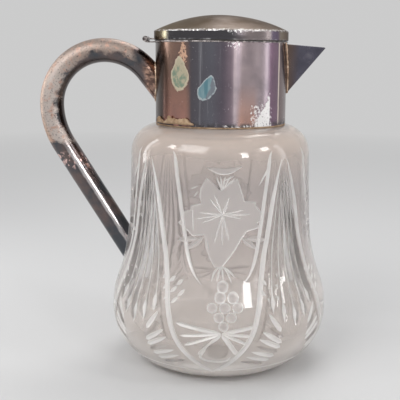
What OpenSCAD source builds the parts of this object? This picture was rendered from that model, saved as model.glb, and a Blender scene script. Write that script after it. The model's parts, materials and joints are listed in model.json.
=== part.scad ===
// Claret jug: a cut-glass body with a silver-plated collar, beak spout, tube handle and hinged lid.
// Millimetres. The origin is the centre of the base, +Z is up, the spout points along +X
// and the handle and hinge are on the -X side.

/* [Glass body] */
// Greatest radius of the belly
belly_r = 74.5; // [70:0.5:80]
// Height of the greatest radius above the base
belly_h = 37; // [32:0.5:42]
// Radius of the arc from the belly down to the base
low_arc_r = 39.5; // [38:0.5:45]
// Radius of the arc from the belly up to the flare
hip_arc_r = 60; // [50:1:75]
// Radius of the hollow arc that flares from the side into the belly
flare_arc_r = 123; // [105:1:140]
// Radius of the body where the flare begins
waist_r = 62.3; // [60:0.5:65]
// Lean of the side above the flare, in degrees from upright
side_lean = 2; // [0.5:0.25:3]
// Height of the shoulder, where the neck rises
shoulder_h = 163.3; // [158:1:180]
// Radius of the rounded shoulder
shoulder_arc_r = 19; // [17:0.5:20]
// Thickness of the glass wall
glass_wall = 5; // [4:0.5:7]
// Thickness of the glass floor
glass_floor = 16; // [10:1:20]
// Bevel round the base
base_bevel = 1; // [0.5:0.5:2]
// Height of the neck above the shoulder
neck_h = 18.5; // [14:0.5:19]
// Thickness of the glass neck
neck_wall = 4.5; // [3.5:0.5:6]

/* [Cutting] */
// Turn of the cut pattern about the jug, in degrees
pattern_turn = -4; // [-15:1:15]
// Number of fluted pillars round the body
pillars = 4; // [3:1:5]
// Flutes in each pillar
flutes = 5; // [3:1:5]
// Depth of a flute
flute_depth = 1.2; // [0.6:0.1:1.5]
// Half width of the V of a flute at the glass surface
flute_half_w = 2.2; // [1.5:0.1:2.5]
// Angle between neighbouring flutes round the body, in degrees
flute_step = 5.6; // [4:0.2:6]
// Fan angle between neighbouring flutes, in degrees
flute_fan = 2.6; // [0:0.2:4]

/* [Collar] */
// Outer radius of the collar
collar_r = 44; // [43:0.5:46]
// Thickness of the collar's sheet
collar_t = 0.8; // [0.6:0.1:1.2]
// Height of the collar, with its rim
collar_h = 54; // [48:1:60]
// Height of the wire that edges the collar
rim_h = 1.2; // [0.8:0.1:1.6]
// How far the rim wire stands out of the collar
rim_out = 0.6; // [0.3:0.1:0.9]
// Thickness of the plaster between collar and neck
cement_t = 1.5; // [0.8:0.1:2]
// Height of the plaster under the collar's lower edge
cement_foot = 0.9; // [0.5:0.1:1.5]
// Start of the squeezed-out plaster bead round the collar, in degrees
bead_from = 207; // [190:1:225]
// Length of the bead round the collar, in degrees
bead_turn = 31; // [15:1:45]
// Radius of the bead
bead_r = 1.3; // [0.8:0.1:1.8]
// Width of the ledge that sits on the lip of the glass
ledge_w = 5.5; // [4:0.5:7]

/* [Spout] */
// Distance of the spout's tip from the axis
tip_x = 70.1; // [64:0.5:76]
// Depth of the tip below the top of the collar
tip_drop = 3.6; // [2:0.2:6]
// Depth of the spout's open edge below the top of the collar, at the collar
mouth_drop = 1.6; // [1.4:0.1:3]
// Depth of the foot of the ridge below the top of the collar
ridge_drop = 34.5; // [28:0.5:34.5]
// Half width of the spout at the collar
mouth_half_w = 15; // [11:0.5:18]
// Thickness of the spout's sheet
spout_t = 0.8; // [0.6:0.1:1.2]
// Diameter of a strainer hole
strainer_d = 3.6; // [2.5:0.1:3.8]
// Distance between strainer holes
strainer_pitch = 5.2; // [4.8:0.1:6]
// Rows of strainer holes
strainer_rows = 4; // [2:1:4]

/* [Handle] */
// Outer radius of the handle tube
tube_r = 8; // [6.5:0.25:9]
// Thickness of the tube's wall
tube_t = 1; // [0.7:0.1:1.5]
// Distance of the bend's centre from the axis of the jug
bend_x = 78.1; // [76:0.5:84]
// Depth of the bend's centre below the top of the collar
bend_drop = 43.2; // [42:0.2:48]
// Radius of the upper bend
bend_r = 36.5; // [34:0.5:37]
// Radius of the lower bend
low_bend_r = 52; // [45:1:60]
// Angle at which the tube comes down to the collar, below level
join_angle = 52; // [45:1:60]
// Angle of the straight lower run, below level
run_angle = 58.3; // [57:0.5:62]
// Thickness of the plate that closes the lower end
foot_t = 1; // [0.6:0.1:1.5]
// Gap between the handle's foot and the glass
foot_gap = 0.4; // [0.3:0.1:0.8]

/* [Lid] */
// How far the lid stands out of the collar
lid_out = 0.9; // [0.6:0.1:1.5]
// Height of the lid's skirt
skirt_h = 6.1; // [4:0.1:9]
// Rise of the dome above the skirt
dome_h = 10.7; // [6:0.1:14]
// Thickness of the lid's sheet
lid_t = 0.9; // [0.6:0.1:1.2]
// Gap between the closed lid and the rim
lid_gap = 0.3; // [0.2:0.1:0.5]
// Clearance of the locating ring inside the collar
flange_gap = 0.8; // [0.6:0.1:1.5]
// Thickness of the locating ring
flange_t = 0.8; // [0.6:0.1:1.2]
// How far the locating ring reaches below the lid
flange_drop = 4.2; // [3:0.2:6]

/* [Hinge] */
// Distance of the pin from the outside of the lid
hinge_out = 5.3; // [5:0.1:7]
// Height of the pin's axis above the top of the collar
hinge_rise = 0.9; // [0.6:0.1:1.2]
// Radius of the pin
pin_r = 0.9; // [0.7:0.1:1.1]
// Running clearance of the pin in its knuckles
pin_gap = 0.05; // [0.02:0.01:0.1]
// Thickness of the knuckles round the pin
knuckle_t = 0.9; // [0.7:0.1:1]
// Width of the whole hinge
hinge_w = 17; // [12:1:22]
// Width of the middle knuckle
middle_w = 6; // [4:0.5:8]
// Gap between knuckles
knuckle_gap = 0.25; // [0.15:0.05:0.4]
// Thickness of the leaves
leaf_t = 0.8; // [0.6:0.1:0.9]
// Thickness of the pin's riveted heads
head_t = 0.6; // [0.4:0.1:1]

/* [Hidden] */
$fn = 96;
// Solder joints and coaxial fits that don't move are drawn with this gap
seam = 0.05;
// Cutting shapes run past a face by this much
over = 1;

// Heights, from the base up
neck_top = shoulder_h + neck_h;
collar_z = shoulder_h + cement_foot;
collar_top = collar_z + collar_h;
wall_top = collar_top - rim_h;
skirt_z = collar_top + lid_gap;
dome_z = skirt_z + skirt_h;
lid_top = dome_z + dome_h;

// Radii of the pieces that fit in each other
collar_bore = collar_r - collar_t;
neck_r = collar_bore - cement_t;
neck_bore = neck_r - neck_wall;
lid_r = collar_r + lid_out;
flange_r = collar_bore - flange_gap;
dome_r = (lid_r * lid_r + dome_h * dome_h) / (2 * dome_h);

// Arcs of the glass: the hollow flare touches the hip arc at flare_a
flare_a = acos((waist_r - belly_r + hip_arc_r + flare_arc_r * cos(side_lean)) / (hip_arc_r + flare_arc_r));
low_c = [belly_r - low_arc_r, belly_h];
hip_c = [belly_r - hip_arc_r, belly_h];
flare_c = hip_c + (hip_arc_r + flare_arc_r) * [cos(flare_a), sin(flare_a)];
flare_top_z = flare_c[1] - flare_arc_r * sin(side_lean);
shoulder_z = shoulder_h - shoulder_arc_r;
side_top_z = shoulder_z + shoulder_arc_r * sin(side_lean);
side_top_r = waist_r - (side_top_z - flare_top_z) * tan(side_lean);
shoulder_c = [side_top_r - shoulder_arc_r * cos(side_lean), shoulder_z];

// Points along an arc, from angle a0 to a1
function arc(c, r, a0, a1, steps) =
    [for (i = [0 : steps]) c + r * [cos(a0 + (a1 - a0) * i / steps), sin(a0 + (a1 - a0) * i / steps)]];

// Angle at which the lower arc, drawn t inside the surface, reaches height z
function low_angle(t, z) = -asin((belly_h - z) / (low_arc_r - t));

// The shoulder arc is drawn up to this angle, or less if it meets the radius r of the neck before
shoulder_end = 80;
function top_angle(t, r) = min(shoulder_end, acos(max(0, (r - shoulder_c[0]) / (shoulder_arc_r - t))));

// Half outline of the glass, t inside its surface, from height z_from to the foot of the neck at r_to
function glass_curve(t, z_from, r_to) = concat(
    arc(low_c, low_arc_r - t, low_angle(t, z_from), 0, 10),
    arc(hip_c, hip_arc_r - t, flare_a / 5, flare_a, 4),
    arc(flare_c, flare_arc_r + t, 180 + flare_a * 5 / 6, 180 + side_lean, 6),
    arc(shoulder_c, shoulder_arc_r - t, side_lean, top_angle(t, r_to), 8),
    [[r_to, shoulder_h - t]]);

// A solid of the glass body's outside, swollen by t, for fitting the handle to it
module glass_outside(t) {
    rotate_extrude()
        polygon(concat([[0, 0]], glass_curve(-t, 0, neck_r), [[0, shoulder_h + t]]));
}

// A ring between two radii and two heights
module ring(inner, outer, z0, z1) {
    rotate_extrude() translate([inner, z0]) square([outer - inner, z1 - z0]);
}

// The edge of the cutting wheel: a V-edged ring that follows the flare of the glass
module flute_wheel() {
    wheel_r = flare_arc_r + flute_depth;
    depth = 3 * flute_depth;
    half_w = flute_half_w * 3;
    translate([flare_c[0], 0, flare_c[1]]) rotate([90, 0, 0]) rotate_extrude(start = 150, angle = 60)
        polygon([[wheel_r, 0], [wheel_r - depth, half_w], [wheel_r - depth, -half_w]]);
}

module glass_body() {
    base_r = low_c[0] + low_arc_r * cos(low_angle(0, 0));
    color([0.86, 0.85, 0.8, 0.45]) difference() {
        rotate_extrude() difference() {
            polygon(concat(
                [[0, 0], [base_r - base_bevel, 0]],
                glass_curve(0, base_bevel, neck_r),
                [[neck_r, neck_top], [0, neck_top]]));
            polygon(concat(
                [[0, glass_floor]],
                glass_curve(glass_wall, glass_floor, neck_bore),
                [[neck_bore, neck_top + over], [0, neck_top + over]]));
        }
        for (p = [0 : pillars - 1], i = [0 : flutes - 1]) {
            place = i - (flutes - 1) / 2;
            rotate([0, 0, pattern_turn + (p + 0.5) * 360 / pillars + place * flute_step])
                rotate([place * flute_fan, 0, 0]) flute_wheel();
        }
    }
}

module neck_cement() {
    layer_z = shoulder_h + seam;
    layer_h = cement_foot - 2 * seam;
    color([0.86, 0.78, 0.62]) {
        ring(neck_r + seam, collar_bore - seam, layer_z, neck_top);
        ring(neck_r + seam, collar_r, layer_z, layer_z + layer_h);
        rotate([0, 0, bead_from]) rotate_extrude(angle = bead_turn) {
            translate([collar_r + seam + bead_r, layer_z + bead_r]) circle(bead_r);
            translate([collar_bore, layer_z]) square([collar_t + bead_r, layer_h]);
        }
    }
}

// The pierced triangle behind the spout, point down
module strainer_holes() {
    row_h = strainer_pitch * sin(60);
    first_z = collar_top - mouth_drop - strainer_pitch;
    for (row = [0 : strainer_rows - 1], i = [0 : strainer_rows - 1 - row])
        translate([0, (i - (strainer_rows - 1 - row) / 2) * strainer_pitch, first_z - row * row_h])
            rotate([0, 90, 0]) cylinder(d = strainer_d, h = collar_r + over);
}

module collar() {
    color([0.42, 0.38, 0.42]) difference() {
        ring(collar_bore, collar_r, collar_z, wall_top);
        strainer_holes();
    }
}

module collar_rim() {
    color([0.72, 0.7, 0.68]) rotate_extrude() {
        translate([collar_bore, wall_top]) square([collar_t + rim_out - rim_h / 2, rim_h]);
        translate([collar_r + rim_out - rim_h / 2, wall_top + rim_h / 2]) circle(rim_h / 2);
    }
}

module neck_ledge() {
    color([0.6, 0.56, 0.52])
        ring(collar_bore - ledge_w, collar_bore - seam, neck_top, neck_top + collar_t);
}

// The spout's outside: a three-sided pyramid on its side, with its point at the tip
spout_tip = [tip_x, 0, collar_top - tip_drop];
ridge_foot = [collar_r, 0, collar_top - ridge_drop];
mouth_corner = [sqrt(collar_r * collar_r - mouth_half_w * mouth_half_w), mouth_half_w, collar_top - mouth_drop];
// Plane inside the collar from which the pyramid starts
spout_root_x = mouth_corner[0] - 4;
function to_root(p) = spout_tip + (p - spout_tip) * (tip_x - spout_root_x) / (tip_x - p[0]);
ridge_dir = (spout_tip - ridge_foot) / norm(spout_tip - ridge_foot);
// Level with the ridge's middle plane, square to the ridge and pointing into the spout
ridge_in = [-ridge_dir[2], 0, ridge_dir[0]];
side_normal = cross(ridge_dir, mouth_corner - ridge_foot) / norm(cross(ridge_dir, mouth_corner - ridge_foot));
spout_inset = spout_t / abs(side_normal * ridge_in);

module spout_pyramid() {
    corner = to_root(mouth_corner);
    polyhedron(
        points = [spout_tip, to_root(ridge_foot), corner, [corner[0], -corner[1], corner[2]]],
        faces = [[0, 1, 3], [0, 3, 2], [0, 2, 1], [1, 2, 3]]);
}

module spout() {
    lift = 3;
    color([0.45, 0.4, 0.42]) difference() {
        spout_pyramid();
        translate(ridge_in * spout_inset + ridge_dir * lift) spout_pyramid();
        cylinder(r = collar_r + seam, h = collar_top + over);
    }
}

// The straight lengths of the tube lap its bends by this much, and are this much wider
lap = 1;
lap_step = 0.02;

// Places along the handle, in the plane of the jug's axis
bend_c = [-bend_x, 0, collar_top - bend_drop];
low_bend_c = bend_c + [low_bend_r - bend_r, 0, 0];
run_turn = 90 - run_angle;
run_start = low_bend_c + low_bend_r * [-cos(run_turn), 0, -sin(run_turn)];
run_length = run_start[2] / sin(run_angle) - 4 * tube_r;
join_turn = 90 - join_angle;
join_start = bend_c + bend_r * [cos(join_turn), 0, sin(join_turn)];

// Part of a bend of the tube, from angle start_a on, seen from the front
module bend(c, r, start_a, turn) {
    translate(c) rotate([90, 0, 0]) rotate_extrude(start = start_a, angle = turn) translate([r, 0])
        difference() {
            circle(tube_r - lap_step);
            circle(tube_r - tube_t - lap_step);
        }
}

// A straight length of the tube that laps the bend at p and runs down towards the jug
module run(p, below_level, length) {
    translate(p) rotate([0, 90 + below_level, 0]) translate([0, 0, -lap]) difference() {
        cylinder(r = tube_r, h = length + lap);
        translate([0, 0, -over]) cylinder(r = tube_r - tube_t, h = length + lap + 2 * over);
    }
}

// What the handle's two ends are cut back from
module handle_stops() {
    glass_outside(foot_gap);
    cylinder(r = collar_r + seam, h = collar_top + over);
}

module handle_tube() {
    color([0.5, 0.44, 0.46]) difference() {
        union() {
            run(run_start, run_angle, run_length);
            bend(low_bend_c, low_bend_r, 180, run_turn);
            bend(bend_c, bend_r, join_turn, 180 - join_turn);
            run(join_start, join_angle, 3 * tube_r);
        }
        handle_stops();
    }
}

module handle_foot() {
    color([0.3, 0.28, 0.3]) difference() {
        intersection() {
            translate(run_start) rotate([0, 90 + run_angle, 0])
                cylinder(r = tube_r - tube_t - seam, h = run_length);
            glass_outside(foot_gap + foot_t);
        }
        glass_outside(foot_gap);
    }
}

module lid_shell() {
    sphere_z = lid_top - dome_r;
    color([0.66, 0.62, 0.58]) {
        difference() {
            translate([0, 0, sphere_z]) sphere(dome_r, $fn = 192);
            translate([0, 0, sphere_z]) sphere(dome_r - lid_t, $fn = 192);
            translate([0, 0, dome_z - 3 * dome_r]) cylinder(r = 2 * dome_r, h = 3 * dome_r);
        }
        ring(lid_r - lid_t, lid_r, skirt_z, dome_z);
    }
}

module lid_flange() {
    color([0.6, 0.56, 0.52]) difference() {
        ring(flange_r - flange_t, flange_r, skirt_z - flange_drop, lid_top);
        difference() {
            translate([0, 0, skirt_z]) cylinder(r = lid_r, h = 2 * dome_r);
            translate([0, 0, lid_top - dome_r]) sphere(dome_r - lid_t - seam, $fn = 192);
        }
    }
}

// Places of the hinge
hinge_x = -(lid_r + hinge_out);
hinge_z = collar_top + hinge_rise;
knuckle_r = pin_r + pin_gap + knuckle_t;
outer_w = (hinge_w - middle_w) / 2 - knuckle_gap;

// A cylinder along Y at the pin's axis, between two places across the jug
module along_pin(r, y0, y1) {
    translate([hinge_x, y1, hinge_z]) rotate([90, 0, 0]) cylinder(r = r, h = y1 - y0);
}

module lid_hinge_leaf() {
    leaf_z = hinge_z - pin_r / 4;
    wing_x = knuckle_r + 2 * knuckle_gap;
    color([0.5, 0.46, 0.46]) difference() {
        union() {
            along_pin(knuckle_r, -middle_w / 2, middle_w / 2);
            translate([hinge_x, -middle_w / 2, leaf_z]) cube([lid_r, middle_w, leaf_t]);
            translate([hinge_x + wing_x, -hinge_w / 2, leaf_z]) cube([lid_r, hinge_w, leaf_t]);
        }
        along_pin(pin_r + pin_gap, -middle_w, middle_w);
        translate([0, 0, skirt_z - over]) cylinder(r = lid_r + seam, h = skirt_h + 2 * over);
    }
}

module collar_hinge_leaf() {
    leaf_z = collar_top - rim_h / 2 - leaf_t;
    wing_x = knuckle_r + 2 * knuckle_gap;
    color([0.5, 0.46, 0.46]) difference() {
        union() {
            for (side = [-1, 1])
                along_pin(knuckle_r, side * hinge_w / 2 - (side > 0 ? outer_w : 0),
                    side * hinge_w / 2 + (side > 0 ? 0 : outer_w));
            difference() {
                translate([hinge_x, -hinge_w / 2, leaf_z]) cube([lid_r, hinge_w, leaf_t]);
                translate([hinge_x - over, -middle_w / 2 - knuckle_gap, leaf_z - over])
                    cube([wing_x + over, middle_w + 2 * knuckle_gap, leaf_t + 2 * over]);
            }
        }
        along_pin(pin_r + pin_gap, -hinge_w, hinge_w);
        cylinder(r = collar_r + rim_out + seam, h = collar_top + over);
    }
}

module hinge_pin() {
    head_r = pin_r + pin_gap + knuckle_t / 2;
    color([0.75, 0.7, 0.62]) {
        along_pin(pin_r, -hinge_w / 2 - knuckle_gap, hinge_w / 2 + knuckle_gap);
        for (side = [-1, 1])
            along_pin(head_r, side * (hinge_w / 2 + seam) - (side > 0 ? 0 : head_t),
                side * (hinge_w / 2 + seam) + (side > 0 ? head_t : 0));
    }
}

glass_body();
neck_cement();
collar();
collar_rim();
neck_ledge();
spout();
handle_tube();
handle_foot();
lid_shell();
lid_flange();
lid_hinge_leaf();
collar_hinge_leaf();
hinge_pin();
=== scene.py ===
# %% [markdown]
# A cut-glass claret jug with a tarnished metal mount
#
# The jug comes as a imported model: thirteen pieces at their real size, with the lid on its hinge. This
# lesson dresses it. Pieces whose CAD shape is right keep it and only get a finish. The glass, the
# plaster, the collar, the spout, the handle and the lid are modelled again with the cuts, solder,
# rounded edges and wear that the real jug shows, each in the place of its CAD node.

# %% Load the fixed frame
import json
import math
import bmesh
import bpy
from mathutils import Matrix, Vector, noise
from mathutils.geometry import delaunay_2d_cdt

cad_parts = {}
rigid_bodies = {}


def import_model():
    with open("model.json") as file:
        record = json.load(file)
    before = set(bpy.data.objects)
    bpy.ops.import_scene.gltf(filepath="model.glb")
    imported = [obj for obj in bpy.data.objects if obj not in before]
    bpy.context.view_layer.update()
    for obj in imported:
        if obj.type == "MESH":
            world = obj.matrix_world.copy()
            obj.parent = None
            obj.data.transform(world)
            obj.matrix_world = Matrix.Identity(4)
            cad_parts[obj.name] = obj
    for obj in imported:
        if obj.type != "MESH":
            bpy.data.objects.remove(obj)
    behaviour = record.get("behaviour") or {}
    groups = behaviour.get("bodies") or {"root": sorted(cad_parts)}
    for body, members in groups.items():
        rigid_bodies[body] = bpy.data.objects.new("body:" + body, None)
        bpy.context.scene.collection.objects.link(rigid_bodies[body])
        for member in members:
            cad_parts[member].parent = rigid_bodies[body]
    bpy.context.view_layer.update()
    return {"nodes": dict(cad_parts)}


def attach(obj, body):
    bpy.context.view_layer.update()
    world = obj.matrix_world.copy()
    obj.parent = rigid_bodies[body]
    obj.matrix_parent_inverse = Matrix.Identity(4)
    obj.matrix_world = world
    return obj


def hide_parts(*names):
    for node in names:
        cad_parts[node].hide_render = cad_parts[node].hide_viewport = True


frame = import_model()
nodes = frame["nodes"]

# %% [markdown]
# The camera stands where the photographer stood: a little above the jug's rim, looking slightly down.
# The jug stands a little right of the middle of the picture, so the view is shifted by a twentieth of
# its width, and the camera is rolled by half a degree, because the jug leans by that much.

# %% Place the camera
MM = 0.001
camera_distance = 537.6 * MM
camera_height = 211.3 * MM
camera_pitch = 10.7
camera_roll = 0.55
focal_pixels = 786.1
picture_pixels = 400
jug_offset_pixels = 19.73

camera = bpy.data.objects.new("camera", bpy.data.cameras.new("camera"))
bpy.context.scene.collection.objects.link(camera)
camera.data.sensor_width = 36
camera.data.lens = camera.data.sensor_width * focal_pixels / picture_pixels
camera.data.shift_x = -jug_offset_pixels / picture_pixels
camera.location = (0, -camera_distance, camera_height)
tilt = Matrix.Rotation(math.radians(90 - camera_pitch), 4, "X")
roll = Matrix.Rotation(math.radians(camera_roll), 4, "Z")
camera.rotation_euler = (tilt @ roll).to_euler()
bpy.context.scene.camera = camera
bpy.context.scene.view_settings.view_transform = "Standard"
print("lens of", round(camera.data.lens, 1), "mm")

# %% [markdown]
# Every operator works on what is selected, so each new piece starts from an empty selection. These
# helpers clear the selection, pick one piece, sort pieces into collections, and apply a modifier. The
# last of them takes one solid, or a whole collection of solids, off a piece by a Boolean.


# %% Helpers for selecting, sorting and cutting
def deselect_all():
    """Goes to object mode and selects nothing."""
    if bpy.context.object is not None and bpy.context.object.mode != "OBJECT":
        bpy.ops.object.mode_set(mode="OBJECT")
    bpy.ops.object.select_all(action="DESELECT")


def pick(piece):
    """Selects one piece alone and makes it the active one."""
    deselect_all()
    piece.hide_set(False)
    piece.select_set(True)
    bpy.context.view_layer.objects.active = piece


def add_collection(name):
    """Adds an empty collection to the scene."""
    made = bpy.data.collections.new(name)
    bpy.context.scene.collection.children.link(made)
    return made


def move_to(thing, collection):
    """Takes an object out of the collections it is in and puts it in another."""
    for home in list(thing.users_collection):
        home.objects.unlink(thing)
    collection.objects.link(thing)


def apply_modifier(piece, kind, **settings):
    """Adds a modifier to a piece, sets its values and applies it."""
    pick(piece)
    made = piece.modifiers.new(kind.lower(), kind)
    for key, value in settings.items():
        setattr(made, key, value)
    bpy.ops.object.modifier_apply(modifier=made.name)


def cut_away(piece, saw, material_mode="INDEX"):
    """Takes a solid, or all the solids of a collection, off a piece and deletes them."""
    settings = {"operation": "DIFFERENCE", "solver": "MANIFOLD", "material_mode": material_mode}
    if isinstance(saw, bpy.types.Object):
        apply_modifier(piece, "BOOLEAN", object=saw, **settings)
        bpy.data.objects.remove(saw)
        return
    apply_modifier(piece, "BOOLEAN", operand_type="COLLECTION", collection=saw, **settings)
    for solid in list(saw.objects):
        bpy.data.objects.remove(solid)
    bpy.data.collections.remove(saw)


def close_seam(reach):
    """In edit mode: merges points closer than reach mm, turns the faces outwards and leaves the mode."""
    bpy.ops.mesh.select_all(action="SELECT")
    bpy.ops.mesh.remove_doubles(threshold=reach * MM)
    bpy.ops.mesh.normals_make_consistent(inside=False)
    bpy.ops.object.mode_set(mode="OBJECT")


# %% [markdown]
# Materials are node trees, and most finishes here need the same few things: noise in the piece's own
# coordinates, a ramp that turns it into a mask, and a mix of two colours by that mask. A Value is a
# number that varies over the piece. Sums on it add the math nodes for them, so a finish can be written
# as plain arithmetic. A Recipe holds the tree and has one method for each other kind of node.


# %% Values that vary over a piece
class Value:
    """A number that varies over the piece."""

    def __init__(self, recipe, socket):
        self.recipe = recipe
        self.socket = socket

    def __add__(self, other):
        return self.recipe.math("ADD", self, other)

    def __sub__(self, other):
        return self.recipe.math("SUBTRACT", self, other)

    def __rsub__(self, other):
        return self.recipe.math("SUBTRACT", other, self)

    def __mul__(self, other):
        return self.recipe.math("MULTIPLY", self, other)

    def __truediv__(self, other):
        return self.recipe.math("DIVIDE", self, other)

    def most(self, other):
        """The higher of two values."""
        return self.recipe.math("MAXIMUM", self, other)

    def root(self):
        """The square root."""
        return self.recipe.math("SQRT", self)

    def step(self, low, high):
        """0 below low, 1 above high and a straight rise between; low may be the higher number."""
        made = self.recipe.add("ShaderNodeMapRange", Value=self, From_Min=low, From_Max=high)
        return Value(self.recipe, made.outputs["Result"])

    def window(self, low, high, soft):
        """1 between low and high, fading to 0 over soft on both sides."""
        return self.step(low - soft, low) * self.step(high + soft, high)

    def blend(self, first, second):
        """The number that lies this share of the way from first to second."""
        made = self.recipe.node("ShaderNodeMix", data_type="FLOAT")
        self.recipe.feed_all(made, Factor=self, A=first, B=second)
        return Value(self.recipe, made.outputs["Result"])


# %% A short way to write a finish
class Recipe:
    """A material's node tree."""

    def __init__(self, name):
        self.material = bpy.data.materials.new(name)
        self.material.use_nodes = True
        self.tree = self.material.node_tree
        self.shader = self.tree.nodes["Principled BSDF"]
        self.output = self.tree.nodes["Material Output"]
        self.place = self.node("ShaderNodeTexCoord").outputs["Object"]

    def node(self, kind, **settings):
        """Adds a node and sets its properties."""
        made = self.tree.nodes.new(kind)
        for key, value in settings.items():
            setattr(made, key, value)
        return made

    def feed(self, value, socket):
        """Links a value, or writes a plain number or colour, to a socket."""
        if isinstance(value, Value):
            value = value.socket
        if isinstance(value, bpy.types.NodeSocket):
            self.tree.links.new(value, socket)
        elif isinstance(value, tuple) and len(value) == 3 and len(socket.default_value) == 4:
            socket.default_value = (*value, 1)
        else:
            socket.default_value = value

    def feed_all(self, made, **inputs):
        """Feeds a node's inputs, named with underscores for spaces."""
        for key, value in inputs.items():
            self.feed(value, made.inputs[key.replace("_", " ")])

    def add(self, kind, **inputs):
        """Adds a node and feeds its inputs."""
        made = self.node(kind)
        self.feed_all(made, **inputs)
        return made

    def mapped(self, scale):
        """The piece's coordinates, stretched."""
        return self.add("ShaderNodeMapping", Vector=self.place, Scale=scale).outputs["Vector"]

    def noise(self, scale, detail=4, roughness=0.55, where=None):
        """A noise value from 0 to 1; scale is in waves per metre."""
        made = self.add("ShaderNodeTexNoise", Vector=where or self.place, Scale=scale, Detail=detail,
                        Roughness=roughness)
        return Value(self, made.outputs["Fac"])

    def math(self, operation, first, second=0.0):
        """One sum on one or two values."""
        made = self.node("ShaderNodeMath", operation=operation)
        self.feed(first, made.inputs[0])
        self.feed(second, made.inputs[1])
        return Value(self, made.outputs[0])

    def mix(self, factor, first, second):
        """A colour between two colours."""
        made = self.node("ShaderNodeMix", data_type="RGBA")
        self.feed_all(made, Factor=factor, A=first, B=second)
        return made.outputs["Result"]

    def ramp(self, value, stops):
        """A colour from a list of (place, colour) stops."""
        made = self.add("ShaderNodeValToRGB", Fac=value)
        elements = made.color_ramp.elements
        while len(elements) < len(stops):
            elements.new(0.5)
        for element, (place, colour) in zip(elements, stops):
            element.position = place
            element.color = (*colour, 1)
        return made.outputs["Color"]

    def axes(self):
        """The piece's x, y and z as three values, in metres."""
        made = self.add("ShaderNodeSeparateXYZ", Vector=self.place)
        return [Value(self, made.outputs[axis]) for axis in "XYZ"]

    def marks(self):
        """Degrees round the jug from its front, positive towards the spout, and mm up it."""
        x, y, z = self.axes()
        turn = self.math("ARCTAN2", x, y * -1.0)
        return self.math("DEGREES", turn), z * 1000.0

    def bump(self, height, distance, strength=1.0):
        """Feeds a height to the shader's normal; distance is in metres."""
        made = self.add("ShaderNodeBump", Height=height, Distance=distance, Strength=strength)
        self.set(Normal=made.outputs["Normal"])

    def set(self, **inputs):
        """Feeds the shader's inputs."""
        self.feed_all(self.shader, **inputs)

    def coat(self, piece):
        """Gives the whole piece this one material."""
        piece.data.materials.clear()
        piece.data.materials.append(self.material)


# %% [markdown]
# The studio is a wide pale floor that fades, far from the jug, into a background of the same tone, so
# that no horizon shows from any side. The world gives an even soft light. The lamps add what a room
# with windows gives: a broad soft key from the upper left and one from above, small windows that show
# on the shoulder of the glass, and tall narrow strips whose reflections draw the bright upright lines
# on the round metal. The strips hang close and clear of the floor, so their light on it stays soft.

# %% Lay the floor
background_tone = (0.60, 0.60, 0.60)
floor_tone, floor_speckle = (0.66, 0.655, 0.65), (0.63, 0.625, 0.62)
floor_radius = 4.0
floor_drop = 0.3 * MM
fade_start, fade_end = 0.45, 1.6


def background_rays(tree):
    """A socket that is 1 for rays from the camera, through glass or off a mirror, and 0 for others."""
    path = tree.nodes.new("ShaderNodeLightPath")
    seen = path.outputs["Is Camera Ray"]
    for kind in ("Is Transmission Ray", "Is Glossy Ray"):
        either = tree.nodes.new("ShaderNodeMath")
        either.operation = "MAXIMUM"
        tree.links.new(seen, either.inputs[0])
        tree.links.new(path.outputs[kind], either.inputs[1])
        seen = either.outputs[0]
    return seen


deselect_all()
bpy.ops.mesh.primitive_circle_add(vertices=128, radius=floor_radius, fill_type="NGON",
                                  location=(0, 0, -floor_drop))
floor = bpy.context.object
floor.name = "floor"

recipe = Recipe("pale_floor")
x, y, _ = recipe.axes()
fade = (x * x + y * y).root().step(fade_start, fade_end)
speckle = recipe.noise(900, detail=2)
recipe.set(Base_Color=recipe.mix(speckle, floor_tone, floor_speckle), Roughness=0.75)
glow = recipe.add("ShaderNodeEmission", Color=background_tone)
cover = recipe.node("ShaderNodeMixShader")
recipe.feed(fade * background_rays(recipe.tree), cover.inputs["Fac"])
recipe.feed(recipe.shader.outputs["BSDF"], cover.inputs[1])
recipe.feed(glow.outputs["Emission"], cover.inputs[2])
recipe.feed(cover.outputs["Shader"], recipe.output.inputs["Surface"])
recipe.coat(floor)
print("floor of", 2 * floor_radius, "m across")

# %% Light the background and the room
world = bpy.data.worlds.new("studio")
bpy.context.scene.world = world
world.use_nodes = True
tree = world.node_tree
room = tree.nodes["Background"]
room.inputs["Color"].default_value = (0.95, 0.97, 1.0, 1)
room.inputs["Strength"].default_value = 0.45
backdrop = tree.nodes.new("ShaderNodeBackground")
backdrop.inputs["Color"].default_value = (*background_tone, 1)
choose = tree.nodes.new("ShaderNodeMixShader")
tree.links.new(background_rays(tree), choose.inputs["Fac"])
tree.links.new(room.outputs["Background"], choose.inputs[1])
tree.links.new(backdrop.outputs["Background"], choose.inputs[2])
tree.links.new(choose.outputs["Shader"], tree.nodes["World Output"].inputs["Surface"])
print("background tone:", background_tone)


# %% Hang the lamps
def hang_lamp(name, azimuth, height, distance, width, length, power, aim=0.11):
    """An area lamp at an azimuth round the jug, in degrees from the front, aimed at the jug's axis."""
    turn = math.radians(azimuth)
    lamp = bpy.data.objects.new(name, bpy.data.lights.new(name, "AREA"))
    bpy.context.scene.collection.objects.link(lamp)
    lamp.data.shape = "RECTANGLE"
    lamp.data.size = width
    lamp.data.size_y = length
    lamp.data.energy = power
    lamp.location = (distance * math.sin(turn), -distance * math.cos(turn), height)
    lamp.rotation_euler = (Vector((0, 0, aim)) - lamp.location).to_track_quat("-Z", "Y").to_euler()


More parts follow.
